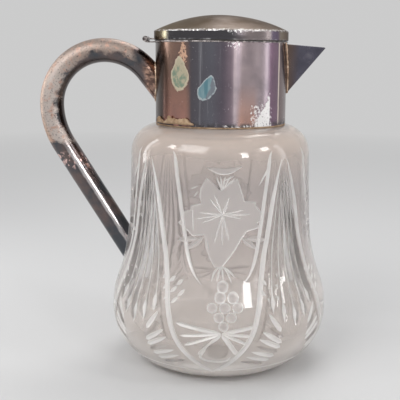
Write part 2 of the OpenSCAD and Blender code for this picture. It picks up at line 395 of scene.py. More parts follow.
hang_lamp("key", -40, 1.1, 1.2, 0.9, 0.7, 9)
hang_lamp("right_front_window", 31, 0.5, 1.1, 0.17, 0.36, 2.2)
hang_lamp("right_strip", 83, 0.28, 0.5, 0.06, 0.4, 0.2)
hang_lamp("left_strip", -106, 0.28, 0.5, 0.07, 0.4, 0.42)
hang_lamp("left_high_window", -72, 0.85, 1.0, 0.2, 0.2, 1.3)
hang_lamp("right_high_window", 64, 0.8, 1.0, 0.22, 0.22, 1.8)
hang_lamp("top", 160, 1.3, 0.7, 0.8, 0.8, 6)

# %% [markdown]
# The glass was blown into a mould and turned true, so it is a solid of revolution. Its half outline is
# four arcs and a nearly straight side: the rounded foot, the hip, the long hollow flare up to the
# waist, and the shoulder. The same function gives the outside and, set in by the wall, the inside.

# %% Outline of the glass
belly_r, belly_h = 74.5, 37.0
low_r, hip_r, flare_r = 39.5, 60.0, 123.0
waist_r, side_lean = 62.3, 2.0
shoulder_h, shoulder_r = 163.3, 19.0
glass_wall, glass_floor = 5.0, 16.0
neck_r, neck_bore, neck_top = 41.7, 37.2, 181.8

lean = math.radians(side_lean)
flare_turn = math.acos((waist_r - belly_r + hip_r + flare_r * math.cos(lean)) / (hip_r + flare_r))
low_c = (belly_r - low_r, belly_h)
hip_c = (belly_r - hip_r, belly_h)
hip_top = hip_c[1] + hip_r * math.sin(flare_turn)
flare_c = (hip_c[0] + (hip_r + flare_r) * math.cos(flare_turn),
           hip_c[1] + (hip_r + flare_r) * math.sin(flare_turn))
flare_top = flare_c[1] - flare_r * math.sin(lean)
side_top = shoulder_h - shoulder_r + shoulder_r * math.sin(lean)
side_top_r = waist_r - (side_top - flare_top) * math.tan(lean)
shoulder_c = (side_top_r - shoulder_r * math.cos(lean), shoulder_h - shoulder_r)


def arc(centre, radius, start, end, steps):
    """Points along an arc of the outline, between two angles in degrees."""
    turns = [math.radians(start + (end - start) * i / steps) for i in range(steps + 1)]
    return [(centre[0] + radius * math.cos(t), centre[1] + radius * math.sin(t)) for t in turns]


def glass_outline(inset, low, neck):
    """The half outline, inset mm inside the surface, from height low to the foot of the neck."""
    start = -math.degrees(math.asin((belly_h - low) / (low_r - inset)))
    turn = math.degrees(flare_turn)
    points = arc(low_c, low_r - inset, start, 0, 18)
    points += arc(hip_c, hip_r - inset, turn / 8, turn, 7)
    points += arc(flare_c, flare_r + inset, 180 + turn * 9 / 10, 180 + side_lean, 9)
    points += arc(shoulder_c, shoulder_r - inset, side_lean, 82, 14)
    return points + [(neck, shoulder_h - inset)]


def glass_radius(height):
    """Radius of the glass's surface at a height."""
    if height < belly_h:
        return low_c[0] + math.sqrt(low_r ** 2 - (belly_h - height) ** 2)
    if height < hip_top:
        return hip_c[0] + math.sqrt(hip_r ** 2 - (height - belly_h) ** 2)
    if height < flare_top:
        return flare_c[0] - math.sqrt(flare_r ** 2 - (flare_c[1] - height) ** 2)
    if height < side_top:
        return waist_r - (height - flare_top) * math.tan(lean)
    return shoulder_c[0] + math.sqrt(shoulder_r ** 2 - (height - shoulder_c[1]) ** 2)


def on_glass(azimuth, height, out=0.0):
    """The point out mm off the glass's surface at an azimuth (degrees) and height (mm), in metres."""
    step = 0.05
    slope = (glass_radius(height + step) - glass_radius(height - step)) / (2 * step)
    square = math.hypot(1, slope)
    radius = glass_radius(height) + out / square
    turn = math.radians(azimuth)
    return Vector((radius * math.sin(turn), -radius * math.cos(turn), height - out * slope / square)) * MM


print("the flare starts at", round(hip_top, 1), "mm and ends at", round(flare_top, 1), "mm")


# %% [markdown]
# Round pieces are turned as on a lathe. A plane is merged to one point, the point is extruded along
# the outline, and the line is spun round the Z axis. The seam closes by merging doubles, and the
# normals are then made to point outwards.


# %% Turn an outline
def turn_outline(name, outline, steps=192, smooth=35):
    """Spins a half outline of (radius, height) points in mm round the jug's axis."""
    deselect_all()
    bpy.ops.mesh.primitive_plane_add(size=MM)
    piece = bpy.context.object
    piece.name = name
    bpy.ops.object.mode_set(mode="EDIT")
    bpy.ops.mesh.select_mode(type="VERT")
    bpy.ops.mesh.select_all(action="SELECT")
    bpy.ops.mesh.merge(type="CENTER")
    bpy.ops.transform.translate(value=(outline[0][0] * MM, 0, outline[0][1] * MM))
    for (r0, z0), (r1, z1) in zip(outline, outline[1:]):
        move = {"value": ((r1 - r0) * MM, 0, (z1 - z0) * MM)}
        bpy.ops.mesh.extrude_region_move(TRANSFORM_OT_translate=move)
    bpy.ops.mesh.select_all(action="SELECT")
    bpy.ops.mesh.spin(steps=steps, angle=2 * math.pi, center=(0, 0, 0), axis=(0, 0, 1))
    close_seam(0.01)
    bpy.ops.object.shade_smooth_by_angle(angle=math.radians(smooth))
    return piece


# %% Turn the glass
base_lift = 1.2
foot_ring = 44.0
inner = list(reversed(glass_outline(glass_wall, glass_floor + 2.5, neck_bore)))
outline = [(0, base_lift), (foot_ring, base_lift * 0.6), (foot_ring + 2.2, 0), (low_c[0] + 12.4, 0)]
outline += glass_outline(0, 1.0, neck_r)
outline += [(neck_r, neck_top - 0.8), (neck_r - 0.8, neck_top), (neck_bore + 0.8, neck_top)]
outline += [(neck_bore, neck_top - 0.8)] + inner
floor_r = inner[-1][0]
outline += [(floor_r - 4, glass_floor + 0.6), (floor_r - 9, glass_floor), (0, glass_floor - 0.4)]
glass = turn_outline("glass_jug", outline)
print("turned glass:", len(glass.data.polygons), "faces")

# %% [markdown]
# The pattern is cut with a stone wheel. A wheel with a V edge leaves a mitre: a groove with two flat
# sides, deepest in the middle of the stroke. A round stone leaves shallow dishes, and a flat one
# takes the polish off a leaf. Each stroke here is a wedge that follows a path on the glass, given by
# azimuth and height. Each dish is a ball and each leaf a thin plate. One Boolean takes all of these
# off the glass, and each cut face keeps the finish of the solid that cut it.
#
# Operators can't lay a wedge or a plate along a curved surface, so both are written point by point.

# %% Gather the cutters
cutters = add_collection("cutters")
clear_cut = bpy.data.materials.new("clear_cut")
bright_cut = bpy.data.materials.new("bright_cut")
matt_cut = bpy.data.materials.new("matt_cut")
wedge_lift = 0.5
stroke_skin = 0.05


def add_cutter(name, points, faces, finish):
    """Puts a closed cutting solid, with its finish, in the collection of cutters."""
    mesh = bpy.data.meshes.new(name)
    mesh.from_pydata(points, [], faces)
    solid = bmesh.new()
    solid.from_mesh(mesh)
    bmesh.ops.recalc_face_normals(solid, faces=solid.faces)
    solid.to_mesh(mesh)
    solid.free()
    mesh.materials.append(finish)
    cutters.objects.link(bpy.data.objects.new(name, mesh))


def smooth_path(path, pieces):
    """A smooth line through the points of a path."""
    line = []
    for i in range(len(path) - 1):
        before, start, end = path[max(i - 1, 0)], path[i], path[i + 1]
        after = path[min(i + 2, len(path) - 1)]
        for j in range(pieces):
            t = j / pieces
            line.append(tuple(
                0.5 * (2 * b + (c - a) * t + (2 * a - 5 * b + 4 * c - d) * t ** 2
                       + (3 * b - a - 3 * c + d) * t ** 3)
                for a, b, c, d in zip(before, start, end, after)))
    return line + [path[-1]]


# %% A wedge for a mitre
def mitre(path, width, depth, finish, ends=(0.5, 0.5), pieces=6):
    """Adds a V-edged wedge along a path of (azimuth, height) points, in degrees and mm.

    ends are the shares of the stroke over which the wheel goes in and comes out."""
    line = smooth_path(path, pieces)
    spots = [on_glass(*spot) for spot in line]
    outs = [(on_glass(spot[0], spot[1], 1) - here).normalized() for spot, here in zip(line, spots)]
    travelled = [0.0]
    for here, there in zip(spots, spots[1:]):
        travelled.append(travelled[-1] + (there - here).length)
    points = []
    for i, (spot, out) in enumerate(zip(spots, outs)):
        share = travelled[i] / travelled[-1]
        entry = min(1, share / ends[0])
        leave = min(1, (1 - share) / ends[1])
        bite = depth * min(1 - (1 - entry) ** 2, 1 - (1 - leave) ** 2) - stroke_skin
        along = (spots[min(i + 1, len(spots) - 1)] - spots[max(i - 1, 0)]).normalized()
        side = along.cross(out).normalized() * width / 2 * (bite + wedge_lift) / depth
        top = spot + out * wedge_lift * MM
        points += [top + side * MM, top - side * MM, spot - out * bite * MM]
    faces = [(0, 1, 2), tuple(range(len(points) - 3, len(points)))]
    for i in range(0, len(points) - 3, 3):
        for a, b in ((0, 1), (1, 2), (2, 0)):
            faces.append((i + a, i + b, i + 3 + b, i + 3 + a))
    add_cutter("mitre", points, faces, finish)


# %% A plate and a ball
def plate(outline, depth, finish, spacing=3.0):
    """Adds a thin plate of any outline of (azimuth, height) points, bent round the glass."""
    turn_mm = math.radians(1) * waist_r
    edge = [Vector((azimuth * turn_mm, height)) for azimuth, height in outline]
    low = [min(point[k] for point in edge) for k in (0, 1)]
    high = [max(point[k] for point in edge) for k in (0, 1)]
    grid = [Vector((low[0] + i * spacing, low[1] + j * spacing))
            for i in range(1, int((high[0] - low[0]) / spacing) + 1)
            for j in range(1, int((high[1] - low[1]) / spacing) + 1)]
    rim = [(i, (i + 1) % len(edge)) for i in range(len(edge))]
    flat, _, triangles, _, _, _ = delaunay_2d_cdt(edge + grid, rim, [], 1, 1e-5)
    used = sorted({i for triangle in triangles for i in triangle})
    number = {old: new for new, old in enumerate(used)}
    triangles = [tuple(number[i] for i in triangle) for triangle in triangles]
    top = [on_glass(flat[i][0] / turn_mm, flat[i][1], wedge_lift) for i in used]
    low_side = [on_glass(flat[i][0] / turn_mm, flat[i][1], -depth) for i in used]
    count = len(used)
    faces = triangles + [tuple(i + count for i in reversed(triangle)) for triangle in triangles]
    sides = {}
    for triangle in triangles:
        for a, b in zip(triangle, triangle[1:] + triangle[:1]):
            sides[(a, b)] = True
    faces += [(b, a, a + count, b + count) for a, b in sides if (b, a) not in sides]
    add_cutter("plate", top + low_side, faces, finish)


def dish(azimuth, height, radius, depth, finish):
    """Adds a ball that cuts a shallow round dish."""
    ball_r = (radius ** 2 + depth ** 2) / (2 * depth)
    deselect_all()
    bpy.ops.mesh.primitive_uv_sphere_add(segments=48, ring_count=32, radius=ball_r * MM,
                                         location=on_glass(azimuth, height, ball_r - depth))
    ball = bpy.context.object
    bpy.ops.object.transform_apply(location=True, rotation=True, scale=True)
    ball.data.materials.append(finish)
    move_to(ball, cutters)


# %% [markdown]
# One quarter of the pattern is drawn and then turned round the jug four times: a panel with a vine
# leaf, grapes and a half sunburst, and the pillar of long flutes beside it. Heights are in mm above
# the table and azimuths in degrees from the middle of the panel.

# %% Draw the frame of the panel and the pillar's flutes
pattern_turn = -3.0
motif_shift = 4.7
pillar_middle = 45.0
panel_edge = [(43.2, 147), (41.2, 140), (38.6, 131), (35.0, 115), (31.9, 97), (29.2, 85), (26.4, 70),
              (23.6, 55), (20.2, 40), (16.4, 30), (11.5, 22), (5.4, 14.8), (-1.5, 9.6)]
lyre_edge = [(31.6, 151), (29.2, 147), (27.5, 135), (25.6, 123), (23.9, 111), (21.6, 96), (19.3, 84.5),
             (15.6, 74.7), (10.2, 67.2)]
flute_ends = [38.0, 42.0, 49.0]


def panel_half(height):
    """Azimuth of the panel's edge at a height."""
    for (a1, h1), (a0, h0) in zip(panel_edge, panel_edge[1:]):
        if h0 <= height <= h1:
            return a0 + (a1 - a0) * (height - h0) / (h1 - h0)
    return panel_edge[0][0] if height > panel_edge[0][1] else panel_edge[-1][0]


for side in (-1, 1):
    mitre([(side * a, h) for a, h in panel_edge], 3.7, 1.1, bright_cut, (0.25, 0.06))
    beside = [(side * (a + 2.6 + 0.02 * (150 - h)), h) for a, h in panel_edge[2:10]]
    mitre(beside, 2.4, 0.7, clear_cut, (0.3, 0.12))
    lyre = [(motif_shift + side * a, h) for a, h in lyre_edge]
    mitre(lyre, 2.8, 0.9, bright_cut, (0.12, 0.35))

for place in (-2, -1, 0, 1, 2):
    end = flute_ends[abs(place)]
    flute = []
    for i in range(9):
        height = end + (148 - 3 * abs(place) - end) * (1 - i / 8)
        spread = (pillar_middle - panel_half(height)) / 3.3
        flute.append((pillar_middle + place * spread, height))
    mitre(flute, 7.6, 1.7, clear_cut, (0.85, 0.07))
    # The white stroke down the middle of each flute and the wide one at its foot are painted highlights:
    # they stand for the bright lines and teardrops of light in the polished flutes.
    mitre(flute, 2.6, 2.2, bright_cut, (0.8, 0.12))
    mitre(flute[-3:], 6.6, 2.0, bright_cut, (0.8, 0.3), 8)

# %% Draw the fan and the short cuts at the foot of the pillar
chevrons = [(16.6, 50.0, 9.6, 37.0), (18.8, 44.6, 8.6, 32.8), (20.6, 39.2, 8.6, 29.0),
            (22.2, 34.4, 9.0, 25.8), (23.9, 30.0, 10.0, 22.8), (25.8, 26.0, 11.6, 20.0),
            (28.0, 22.4, 14.0, 17.4), (30.8, 19.2, 17.6, 15.0)]
for side in (-1, 1):
    for place, (out, high, near, low) in enumerate(chevrons):
        path = [(pillar_middle + side * out, high), (pillar_middle + side * near, low)]
        mitre(path, 3.5, 0.95, clear_cut if place % 3 == 1 else bright_cut, (0.5, 0.12))
    for row in range(3):
        for place in range(3 - row // 2):
            across = motif_shift + side * (30.5 - 4.6 * place - 1.4 * row)
            high = 74.0 - 6.2 * row - 1.5 * place
            mitre([(across, high), (across + side * 3.6, high - 4.4)], 2.5, 0.8, bright_cut)
mitre([(-0.5, 11.4), (30, 11.4), (60, 11.4), (90.5, 11.4)], 1.3, 0.5, bright_cut, (0.01, 0.01), 10)

# %% Draw the vine leaf
leaf = [(3.9, 126.6), (0.1, 130.2), (-4.4, 134.8), (-7.9, 128.1), (-8.4, 123.3), (-7.3, 118.6),
        (-13.5, 116.9), (-14.1, 114.0), (-17.9, 113.1), (-18.4, 109.4), (-21.5, 106.1), (-14.4, 100.6),
        (-13.0, 98.6), (-5.4, 99.4), (-4.4, 91.1), (-2.1, 84.6), (0.6, 79.6), (3.2, 78.4), (6.5, 82.3),
        (9.8, 87.0), (12.4, 91.0), (15.6, 97.1), (18.7, 101.4), (26.4, 103.4), (25.2, 106.2),
        (29.6, 109.6), (27.0, 113.3), (24.3, 116.8), (24.5, 119.2), (17.3, 119.9), (15.9, 124.7),
        (14.6, 129.0), (13.2, 134.2), (7.6, 130.2)]
plate(leaf, 0.2, matt_cut)
mitre(leaf + leaf[:2], 0.9, 0.4, bright_cut, (0.01, 0.01), 1)

leaf_mid = Vector((4.7, 112.3))
ray_tips = [(-0.7, 126.0), (-3.4, 122.9), (-9.7, 113.2), (-12.0, 109.0), (-7.9, 106.3), (-0.3, 92.4),
            (4.6, 90.1), (8.9, 94.2), (17.0, 109.1), (21.9, 111.8), (18.6, 115.3), (7.9, 118.5),
            (8.9, 124.2)]
for tip in ray_tips:
    start = leaf_mid - (Vector(tip) - leaf_mid) * 0.05
    mitre([tuple(start), tip], 1.7, 0.8, bright_cut, (0.2, 0.35), 8)
mitre([(-12.9, 116.6), (-12.2, 100.4)], 1.5, 0.6, bright_cut, (0.2, 0.2))
mitre([(-4.6, 99.6), (-2.4, 86.5)], 1.3, 0.5, bright_cut)
for tip in ((0.9, 136.0), (3.4, 136.6), (6.4, 136.4), (9.6, 136.8), (12.4, 135.6)):
    mitre([(4.2, 127.0), tip], 1.2, 0.6, bright_cut)
for start, tip in (((4.2, 132.6), (11.6, 136.4)), ((-14.6, 127.4), (-9.4, 130.0)),
                   ((-12.2, 122.8), (-9.4, 126.6))):
    mitre([start, tip], 1.1, 0.5, bright_cut)

# %% Draw the leaflets, the crescent and the stem
crescent = [(-4.9, 141.4), (-0.3, 138.6), (5.0, 137.5), (10.5, 138.8), (16.0, 142.2), (9.7, 141.3),
            (4.7, 141.0), (-0.3, 141.4)]
plate(crescent, 0.3, matt_cut, 2.0)
mitre([(-5.8, 141.8), (-0.3, 138.7), (5.0, 137.4), (10.5, 138.7), (17.0, 142.8)], 1.2, 0.5, bright_cut)
mitre([(35.5, 145.0), (26.0, 129.0)], 1.5, 0.7, bright_cut)
for side in (-1, 1):
    for start, tip, width in (((13.4, 96.8), (27.0, 94.6), 3.8), ((10.6, 98.0), (20.2, 89.4), 4.4)):
        path = [(motif_shift + side * start[0], start[1]), (motif_shift + side * tip[0], tip[1])]
        mitre(path, width, 0.5, matt_cut, (0.5, 0.5), 8)
        mitre(path, 1.0, 0.75, bright_cut, (0.5, 0.5), 8)
for bow, tip in (((0.6, 76.5), (-1.2, 70.0)), ((2.8, 76.0), (1.8, 69.8)), ((4.9, 75.5), (5.4, 70.0)),
                 ((7.6, 76.0), (9.9, 69.2)), ((8.4, 77.0), (12.4, 72.0))):
    mitre([(4.4, 80.2), bow, tip], 1.3, 0.7, bright_cut, (0.3, 0.5))

# %% Draw the grapes
grapes = [(4.9, 67.3, 3.9), (3.7, 61.0, 3.8), (10.4, 60.8, 3.8), (-0.3, 55.0, 3.5), (6.1, 55.0, 3.8),
          (12.6, 54.9, 3.6), (3.1, 49.2, 3.5), (9.3, 49.2, 3.5), (5.4, 43.8, 3.3)]
for azimuth, height, radius in grapes:
    dish(azimuth, height, radius + 0.1, 0.55, bright_cut)
    dish(azimuth, height, radius - 0.35, 0.8, matt_cut)

# %% Draw the half sunburst
sun = (4.5, 39.4)
bars = [(-18.5, 44.5, 2.6), (-16.4, 36.6, 2.1), (-14.2, 30.2, 2.1), (22.0, 43.0, 2.6), (20.6, 36.4, 2.1),
        (18.6, 30.6, 2.1), (12.6, 24.0, 3.4), (-7.4, 24.2, 2.5)]
for azimuth, height, width in bars:
    mitre([sun, (azimuth, height)], width, 0.8, bright_cut, (0.15, 0.12))
dish(2.2, 27.8, 9.0, 1.5, clear_cut)
bow = [(2.6, 35.4), (-1.2, 32.2), (-4.4, 27.0), (-6.0, 22.6), (-2.8, 20.2), (2.2, 19.4), (6.6, 20.2),
       (9.6, 23.6)]
mitre(bow, 2.0, 0.8, bright_cut, (0.1, 0.1))

# %% Turn the quarter round the jug and cut
for cutter in list(cutters.objects):
    for turn in range(4):
        copy = cutter if turn == 0 else cutter.copy()
        if turn:
            cutters.objects.link(copy)
        copy.rotation_euler = (0, 0, math.radians(pattern_turn + 90 * turn))

haze_glass = bpy.data.materials.new("glass_body_finish")
for material in (haze_glass, clear_cut, bright_cut, matt_cut):
    glass.data.materials.append(material)
cut_away(glass, cutters, material_mode="TRANSFER")
bpy.ops.object.shade_smooth_by_angle(angle=math.radians(28))
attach(glass, "jug")
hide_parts("glass_body")
print("cut glass:", len(glass.data.polygons), "faces,", [m.name for m in glass.data.materials])


# %% [markdown]
# Old glass is never quite clear. Years of hard water leave a warm milky film, thickest on the shoulder
# and at the foot, where a brush doesn't reach. So the body is mostly transmission, with a tinted share
# that scatters light and varies slowly. The stone cuts get a white finish that scatters more, and this
# white is painted light: it stands for the glints that cut facets catch. The long flutes were polished
# clear again, and the leaf was left as the flat stone made it, matt.


# %% Finish the glass
def glass_finish(material, name, tints, haze, roughness, thick_film=0.0):
    """A tinted glass with a scattering share and a roughness.

    tints are the tone of the side, the shoulder and the belly; haze and roughness are (least, most)."""
    recipe = Recipe(name)
    _, _, z = recipe.axes()
    shoulder = z.step(0.128, 0.156)
    belly = z.step(0.092, 0.050)
    foot = z.step(0.034, 0.008)
    film = recipe.noise(28, detail=5, roughness=0.6).blend(*haze)
    ends = shoulder.most(foot) + belly * 0.45
    film = (film + ends * thick_film).step(0, 1)
    tint = recipe.mix(belly, recipe.mix(shoulder, tints[0], tints[1]), tints[2])
    rough = recipe.noise(60, detail=6).blend(*roughness)
    recipe.set(Base_Color=tint, IOR=1.5, Transmission_Weight=1.0 - film, Roughness=rough)
    for index, slot in enumerate(glass.data.materials):
        if slot == material:
            glass.data.materials[index] = recipe.material


milky = ((0.82, 0.765, 0.745), (0.895, 0.79, 0.715), (0.985, 0.93, 0.89))
polished = ((0.93, 0.91, 0.90), (0.93, 0.91, 0.90), (0.98, 0.95, 0.93))
white = ((0.98, 0.96, 0.94),) * 3
matt = ((0.80, 0.755, 0.735),) * 3
glass_finish(haze_glass, "milky_glass", milky, (0.07, 0.22), (0.01, 0.07), 0.22)
glass_finish(clear_cut, "polished_cut", polished, (0.0, 0.06), (0.01, 0.04), 0.12)
# The white of the bright cuts is painted light, standing for the glints of cut facets.
glass_finish(bright_cut, "white_cut_painted_glint", white, (0.42, 0.7), (0.12, 0.25))
glass_finish(matt_cut, "matt_leaf", matt, (0.28, 0.42), (0.3, 0.45))
print("glass finishes:", [material.name for material in glass.data.materials])

# %% [markdown]
# The metal mount is held on the neck by plaster. Inside the collar it is a plain ring, which is turned.
# At the front left some of it was squeezed out below the collar and set there as a crumbly crust. The
# crust is a strip spun part of the way round the jug, then roughened by moving its points with noise.

# %% Turn the plaster ring and spin its crust
collar_r, collar_bore = 44.0, 43.2
collar_z, wall_top, collar_top = 164.2, 217.0, 218.2
plaster_in, plaster_out, lip_out = neck_r + 0.05, collar_bore - 0.05, 43.9
plaster_z, lip_z = 163.4, 164.15
crust_middle_z, crust_base_z = 165.2, 165.0
plaster = turn_outline("plaster_ring", [
    (plaster_in, plaster_z), (lip_out, plaster_z), (lip_out, lip_z), (plaster_out, lip_z),
    (plaster_out, neck_top), (plaster_in, neck_top), (plaster_in, plaster_z)])


def spin_crust(name, from_azimuth, to_azimuth, height, thick):
    """A lumpy strip of plaster against the collar's lower edge."""
    deselect_all()
    start = math.radians(from_azimuth)
    middle = (collar_r + thick / 2 - 0.3) * MM
    place = (middle * math.sin(start), -middle * math.cos(start), crust_middle_z * MM + height * MM / 2)
    bpy.ops.mesh.primitive_circle_add(vertices=20, radius=1, location=place,
                                      rotation=(math.radians(90), 0, start - math.radians(90)))
    piece = bpy.context.object
    piece.name = name
    piece.scale = (thick / 2 * MM, height / 2 * MM, 1)
    bpy.ops.object.transform_apply(location=True, rotation=True, scale=True)
    bpy.ops.object.mode_set(mode="EDIT")
    bpy.ops.mesh.select_all(action="SELECT")
    bpy.ops.mesh.edge_face_add()
    turn = math.radians(to_azimuth - from_azimuth)
    bpy.ops.mesh.spin(steps=110, angle=-turn, center=(0, 0, 0), axis=(0, 0, 1))
    close_seam(0.001)
    base = crust_base_z * MM
    for point in piece.data.vertices:
        azimuth = math.degrees(math.atan2(point.co.x, -point.co.y))
        along = (azimuth - from_azimuth) / (to_azimuth - from_azimuth)
        taper = min(1, 3.5 * along + 0.25, 3.5 * (1 - along) + 0.2)
        lump = 0.8 + 0.5 * noise.noise(point.co * 300) + 0.22 * noise.noise(point.co * 640)
        point.co.z = base + (point.co.z - base) * taper * lump
        radius = math.hypot(point.co.x, point.co.y)
        stand = (radius - collar_r * MM) * (0.7 + 0.5 * taper * lump)
        point.co.x *= (collar_r * MM + stand) / radius
        point.co.y *= (collar_r * MM + stand) / radius
    return piece


crusts = [spin_crust("crust_a", -67.5, -56.5, 4.4, 2.4), spin_crust("crust_b", -54.5, -22.5, 4.8, 2.6)]
pick(plaster)
for crust in crusts:
    crust.select_set(True)
bpy.ops.object.join()
bpy.ops.object.shade_smooth_by_angle(angle=math.radians(50))
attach(plaster, "jug")
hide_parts("neck_cement")
print("plaster:", len(plaster.data.polygons), "faces")

# %% Finish the plaster
recipe = Recipe("old_plaster")
grit = recipe.noise(1500, detail=6, roughness=0.7)
stain = recipe.noise(220, detail=3)
tone = recipe.ramp(stain, [
    (0.3, (0.23, 0.14, 0.075)), (0.5, (0.42, 0.285, 0.175)), (0.7, (0.56, 0.41, 0.27))])
recipe.set(Base_Color=recipe.mix(grit.step(0.62, 0.75), tone, (0.75, 0.66, 0.52)), Roughness=0.9)
recipe.bump(grit, 0.0005, 0.8)
recipe.coat(plaster)
print("plaster finish:", len(recipe.tree.nodes), "nodes")

# %% [markdown]
# The collar is a sheet of plated brass bent into a tube. It is turned with its thickness and with a
# lower edge that is just rounded. Behind the spout it is pierced as a strainer: ten holes in a
# triangle, point down. Each hole gets its own cylinder, and a single Boolean drills them all.

# %% Turn and pierce the collar
strainer_d, strainer_pitch, strainer_rows = 3.6, 5.2, 4
mouth_drop = 1.6
edge = 0.12
collar = turn_outline("collar_wall", [
    (collar_bore, collar_z + edge), (collar_bore + edge, collar_z), (collar_r - edge, collar_z),
    (collar_r, collar_z + edge), (collar_r, collar_z + 4), (collar_r, collar_z + 13),
    (collar_r, collar_z + 26), (collar_r, collar_z + 39), (collar_r, wall_top - 1), (collar_r, wall_top),
    (collar_bore, wall_top), (collar_bore, wall_top - 13), (collar_bore, collar_z + 13),
    (collar_bore, collar_z + edge)])

holes = add_collection("holes")
first_row = collar_top - mouth_drop - strainer_pitch
for row in range(strainer_rows):
    count = strainer_rows - row
    for i in range(count):
        deselect_all()
        across = (i - (count - 1) / 2) * strainer_pitch
        height = first_row - row * strainer_pitch * math.sin(math.radians(60))
        bpy.ops.mesh.primitive_cylinder_add(
            vertices=32, radius=strainer_d / 2 * MM, depth=10 * MM,
            location=(collar_r * MM, across * MM, height * MM), rotation=(0, math.radians(90), 0))
        move_to(bpy.context.object, holes)

cut_away(collar, holes)
bpy.ops.object.shade_smooth_by_angle(angle=math.radians(30))
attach(collar, "jug")
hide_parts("collar")
print("collar:", len(collar.data.polygons), "faces")

# %% [markdown]
# The rim is a half-round wire soldered round the top edge, so it is turned with a round outer side.

# %% Turn the rim
rim_h = collar_top - wall_top
rim_out = 0.6
rim_c = (collar_r + rim_out - rim_h / 2, wall_top + rim_h / 2)
rim = turn_outline("rim_wire", [(collar_bore, collar_top), (collar_bore, wall_top)]
                   + arc(rim_c, rim_h / 2, -90, 90, 10) + [(collar_bore, collar_top)])
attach(rim, "jug")
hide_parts("collar_rim")
print("rim:", len(rim.data.polygons), "faces")

# %% [markdown]
# The spout is one sheet folded along its diagonal. A plane is added, its four corners are put where the
# tip, the foot of the ridge and the two corners of the mouth lie, and the fold is the edge from the tip
# to the foot. The fold is beveled, the sheet gets its thickness, and the part inside the collar is
# sawn off with a cylinder of the collar's own radius. Its edges are softened last.

# %% Fold the spout
tip = Vector((70.1, 0, 214.6))
ridge_foot = Vector((collar_r, 0, 183.7))
mouth_half_w = 15.0
mouth = Vector((math.sqrt(collar_r ** 2 - mouth_half_w ** 2), mouth_half_w, collar_top - mouth_drop))
root_x = mouth.x - 4
spout_t = 0.8


def to_root(point):
    """A corner of the sheet, carried on from the tip to the plane inside the collar."""
    return tip + (point - tip) * (tip.x - root_x) / (tip.x - point.x)


deselect_all()
bpy.ops.mesh.primitive_plane_add(size=MM)
spout = bpy.context.object
spout.name = "spout_beak"
corners = [tip, to_root(Vector((mouth.x, -mouth.y, mouth.z))), to_root(mouth), to_root(ridge_foot)]
for point, corner in zip(spout.data.vertices, corners):
    point.co = corner * MM
bpy.ops.object.mode_set(mode="EDIT")
bpy.ops.mesh.select_mode(type="VERT")
bpy.ops.mesh.select_all(action="DESELECT")
bpy.ops.object.mode_set(mode="OBJECT")
spout.data.vertices[0].select = True
spout.data.vertices[3].select = True
bpy.ops.object.mode_set(mode="EDIT")
bpy.ops.mesh.vert_connect()
bpy.ops.mesh.bevel(offset=1.1 * MM, segments=4, affect="EDGES")
bpy.ops.mesh.select_all(action="SELECT")
bpy.ops.mesh.normals_make_consistent(inside=False)
bpy.ops.object.mode_set(mode="OBJECT")
print("folded sheet:", len(spout.data.vertices), "points,", len(spout.data.polygons), "faces")


# %% Thicken and trim the spout
def trim_at_collar(piece):
    """Saws off the part of a piece that lies inside the collar's outer face."""
    deselect_all()
    bpy.ops.mesh.primitive_cylinder_add(vertices=256, radius=(collar_r + 0.02) * MM, depth=80 * MM,
                                        location=(0, 0, 190 * MM))
    cut_away(piece, bpy.context.object)


apply_modifier(spout, "SOLIDIFY", thickness=spout_t * MM, offset=-1, use_even_offset=True)
trim_at_collar(spout)
apply_modifier(spout, "BEVEL", width=0.16 * MM, segments=2, limit_method="ANGLE",
               angle_limit=math.radians(40))
bpy.ops.object.shade_smooth_by_angle(angle=math.radians(35))
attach(spout, "jug")
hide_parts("spout")
print("spout:", len(spout.data.polygons), "faces")

# %% [markdown]
# The handle is one tube. A circle is laid where the tube meets the glass, extruded up its straight run,
# spun through the wide lower bend and the tighter upper one, and extruded down to the collar. Then the
# tube gets its wall, and its two ends are sawn to fit the collar and the swelling glass.

# %% Bend the handle
tube_r, tube_t = 7.97, 1.0
bend_c, bend_r = (-78.1, 175.0), 36.5
low_bend_r = 52.0
join_angle, run_angle = 52.0, 58.3
foot_gap = 0.4
low_bend_c = (bend_c[0] + low_bend_r - bend_r, bend_c[1])
run_turn = 90 - run_angle
run_start = (low_bend_c[0] - low_bend_r * math.cos(math.radians(run_turn)),
             low_bend_c[1] - low_bend_r * math.sin(math.radians(run_turn)))
run_length = 92.0
run_way = Vector((math.cos(math.radians(run_angle)), 0, -math.sin(math.radians(run_angle))))
join_way = Vector((math.cos(math.radians(join_angle)), 0, -math.sin(math.radians(join_angle))))

deselect_all()
start = Vector((run_start[0], 0, run_start[1])) + run_way * run_length
bpy.ops.mesh.primitive_circle_add(vertices=64, radius=tube_r * MM, location=start * MM,
                                  rotation=(0, math.radians(90 + run_angle), 0))
handle = bpy.context.object
handle.name = "handle_bow"
bpy.ops.object.transform_apply(location=True, rotation=True, scale=True)
bpy.ops.object.mode_set(mode="EDIT")
bpy.ops.mesh.select_all(action="SELECT")
run_pieces = 30
for _ in range(run_pieces):
    move = {"value": tuple(-run_way * run_length * MM / run_pieces)}
    bpy.ops.mesh.extrude_region_move(TRANSFORM_OT_translate=move)
bpy.ops.mesh.spin(steps=12, angle=-math.radians(run_turn), axis=(0, 1, 0),
                  center=(low_bend_c[0] * MM, 0, low_bend_c[1] * MM))
bpy.ops.mesh.spin(steps=54, angle=-math.radians(90 + join_angle), axis=(0, 1, 0),
                  center=(bend_c[0] * MM, 0, bend_c[1] * MM))
join_pieces, join_length = 7, 3 * tube_r
for _ in range(join_pieces):
    move = {"value": tuple(join_way * join_length * MM / join_pieces)}
    bpy.ops.mesh.extrude_region_move(TRANSFORM_OT_translate=move)
close_seam(0.01)
low = min(point.co.x for point in handle.data.vertices)
high = max(point.co.z for point in handle.data.vertices)
print("handle reaches x", round(low / MM, 1), "mm and z", round(high / MM, 1), "mm")

